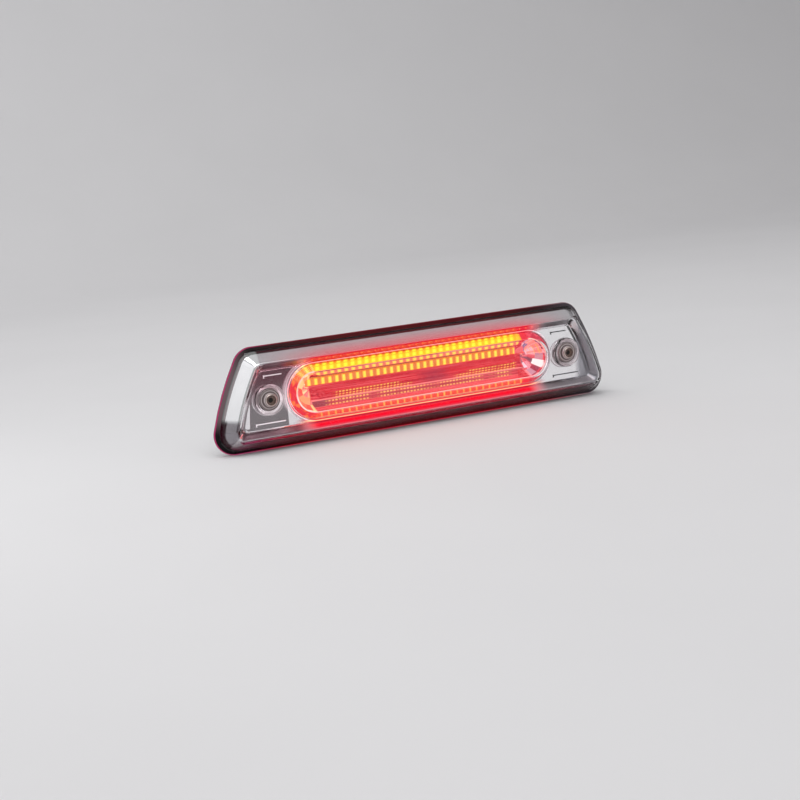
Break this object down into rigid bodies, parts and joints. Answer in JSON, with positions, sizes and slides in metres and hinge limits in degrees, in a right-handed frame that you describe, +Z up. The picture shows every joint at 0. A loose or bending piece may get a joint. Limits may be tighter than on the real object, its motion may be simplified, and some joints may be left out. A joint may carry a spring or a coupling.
{
  "type": "third brake light",
  "caption": "Cab-mounted centre stop and cargo lamp: clear trapezoid lens over a chrome bezel, long rounded red light window, two front mounting screws and a rear socket.",
  "frame": {"origin": "middle of the seat plane where the rear gasket meets the cab", "axes": "+X along the lamp, -Y out of the lens, +Z up"},
  "size_m": [0.3732, 0.0578, 0.086],
  "materials": {
    "black_housing": "satin black moulded plastic, lightly grained",
    "gasket_foam": "matt closed-cell foam",
    "seal_bead": "soft black adhesive bead",
    "clear_lens": "clear polished polycarbonate",
    "chrome_trim": "bright vacuum-metallised plastic",
    "chrome_reflector": "bright vacuum-metallised plastic",
    "brake_optic": "clear fluted acrylic lit red",
    "cargo_optic": "clear polished acrylic",
    "board_white": "white solder mask",
    "brake_light": "lit light packages",
    "cargo_light": "unlit phosphor light packages",
    "board_green": "green solder mask",
    "chip_black": "moulded black package",
    "capacitor_can": "sleeved aluminium can",
    "lead_red": "insulated flat lead",
    "lead_white": "insulated flat lead",
    "header_plastic": "glass-filled nylon",
    "vent_membrane": "matt porous film",
    "terminal_metal": "tin-brass blades",
    "screw_steel": "satin zinc-plated steel",
    "seal_rubber": "matt black rubber"
  },
  "bodies": {
    "lamp": {"bezel_screw_1": "screw_steel", "bezel_screw_2": "screw_steel", "bezel_screw_3": "screw_steel", "bezel_screw_4": "screw_steel", "board_screw_1": "screw_steel", "board_screw_2": "screw_steel", "board_screw_3": "screw_steel", "board_screw_4": "screw_steel", "brake_capacitor": "capacitor_can", "brake_lead": "lead_red", "brake_led_board": "board_white", "brake_leds": "brake_light", "brake_optic": "brake_optic", "brake_regulator": "chip_black", "cargo_capacitor": "capacitor_can", "cargo_lead": "lead_white", "cargo_led_board": "board_white", "cargo_leds": "cargo_light", "cargo_optic": "cargo_optic", "cargo_regulator": "chip_black", "chrome_bezel": "chrome_trim", "connector_header": "header_plastic", "driver_board": "board_green", "driver_screw_1": "screw_steel", "driver_screw_2": "screw_steel", "lens_seal": "seal_bead", "outer_lens": "clear_lens", "rear_gasket": "gasket_foam", "rear_housing": "black_housing", "reflector": "chrome_reflector", "screw_sleeve_left": "screw_steel", "screw_sleeve_right": "screw_steel", "terminal_brake": "terminal_metal", "terminal_cargo": "terminal_metal", "terminal_ground": "terminal_metal", "vent_cap": "header_plastic", "vent_membrane": "vent_membrane"},
    "left_washer": {"captive_washer_left": "screw_steel", "sealing_washer_left": "seal_rubber"},
    "left_screw": {"mounting_screw_left": "screw_steel"},
    "right_washer": {"captive_washer_right": "screw_steel", "sealing_washer_right": "seal_rubber"},
    "right_screw": {"mounting_screw_right": "screw_steel"}
  },
  "joints": [
    {"name": "left_screw_travel", "type": "slide", "parent": "lamp", "child": "left_washer", "axis": [0, -1, 0], "range_m": [0, 0.012]},
    {"name": "left_screw_turn", "type": "hinge", "parent": "left_washer", "child": "left_screw", "pos_m": [-0.1415, 0, 0], "axis": [0, -1, 0], "range_deg": [0, 4325]},
    {"name": "right_screw_travel", "type": "slide", "parent": "lamp", "child": "right_washer", "axis": [0, -1, 0], "range_m": [0, 0.012]},
    {"name": "right_screw_turn", "type": "hinge", "parent": "right_washer", "child": "right_screw", "pos_m": [0.1415, 0, 0], "axis": [0, -1, 0], "range_deg": [0, 4325]}
  ],
  "couplings": [
    {"joint": "left_screw_turn", "follows": "left_screw_travel", "rad_per_m": 6283.2},
    {"joint": "right_screw_turn", "follows": "right_screw_travel", "rad_per_m": 6283.2}
  ]
}
